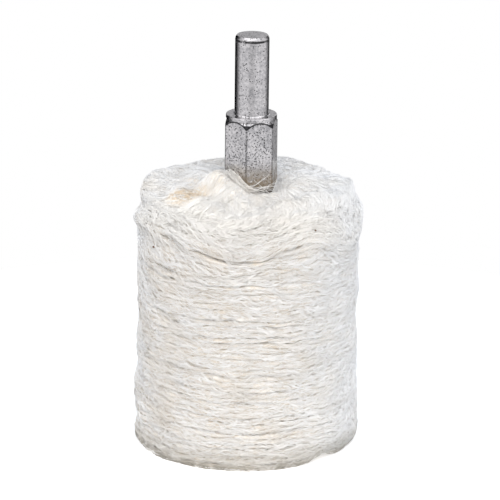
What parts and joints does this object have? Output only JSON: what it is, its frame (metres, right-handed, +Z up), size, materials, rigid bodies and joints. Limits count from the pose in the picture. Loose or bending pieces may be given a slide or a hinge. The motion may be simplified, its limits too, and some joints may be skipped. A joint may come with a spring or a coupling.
{
  "type": "cloth polishing wheel on a drill spindle",
  "caption": "Cylindrical polishing wheel: a stack of round cotton plies clamped on a steel spindle with a hexagonal body and a plain round shank for a drill chuck.",
  "frame": {"origin": "centre of the lower end of the cloth wheel, in the plane it stands on", "axes": "+Z up the spindle towards the shank's end; two corners of the hexagon lie on +Y and -Y, and two of its flats face +X and -X"},
  "size_m": [0.0404, 0.0404, 0.0737],
  "materials": {
    "plated_steel": "nickel-plated steel, finely pitted, satin",
    "cotton_cloth": "unbleached cotton flannel, frayed at the cut edge",
    "zinc_steel": "bright zinc-plated steel",
    "spring_steel": "dark zinc-plated spring steel"
  },
  "bodies": {
    "root": {"spindle": "plated_steel", "upper_washer": "zinc_steel", "lower_washer": "zinc_steel", "lock_washer": "spring_steel", "end_nut": "zinc_steel", "cloth_ply_01": "cotton_cloth", "cloth_ply_02": "cotton_cloth", "cloth_ply_03": "cotton_cloth", "cloth_ply_04": "cotton_cloth", "cloth_ply_05": "cotton_cloth", "cloth_ply_06": "cotton_cloth", "cloth_ply_07": "cotton_cloth", "cloth_ply_08": "cotton_cloth", "cloth_ply_09": "cotton_cloth", "cloth_ply_10": "cotton_cloth", "cloth_ply_11": "cotton_cloth", "cloth_ply_12": "cotton_cloth", "cloth_ply_13": "cotton_cloth", "cloth_ply_14": "cotton_cloth", "cloth_ply_15": "cotton_cloth", "cloth_ply_16": "cotton_cloth", "cloth_ply_17": "cotton_cloth", "cloth_ply_18": "cotton_cloth", "cloth_ply_19": "cotton_cloth", "cloth_ply_20": "cotton_cloth", "cloth_ply_21": "cotton_cloth", "cloth_ply_22": "cotton_cloth", "cloth_ply_23": "cotton_cloth", "cloth_ply_24": "cotton_cloth", "cloth_ply_25": "cotton_cloth", "cloth_ply_26": "cotton_cloth", "cloth_ply_27": "cotton_cloth", "cloth_ply_28": "cotton_cloth", "cloth_ply_29": "cotton_cloth", "cloth_ply_30": "cotton_cloth", "cloth_ply_31": "cotton_cloth", "cloth_ply_32": "cotton_cloth", "cloth_ply_33": "cotton_cloth", "cloth_ply_34": "cotton_cloth", "cloth_ply_35": "cotton_cloth", "cloth_ply_36": "cotton_cloth", "cloth_ply_37": "cotton_cloth", "cloth_ply_38": "cotton_cloth", "cloth_ply_39": "cotton_cloth", "cloth_ply_40": "cotton_cloth", "cloth_ply_41": "cotton_cloth", "cloth_ply_42": "cotton_cloth", "cloth_ply_43": "cotton_cloth", "cloth_ply_44": "cotton_cloth", "cloth_ply_45": "cotton_cloth", "cloth_ply_46": "cotton_cloth", "cloth_ply_47": "cotton_cloth", "cloth_ply_48": "cotton_cloth"}
  },
  "joints": []
}
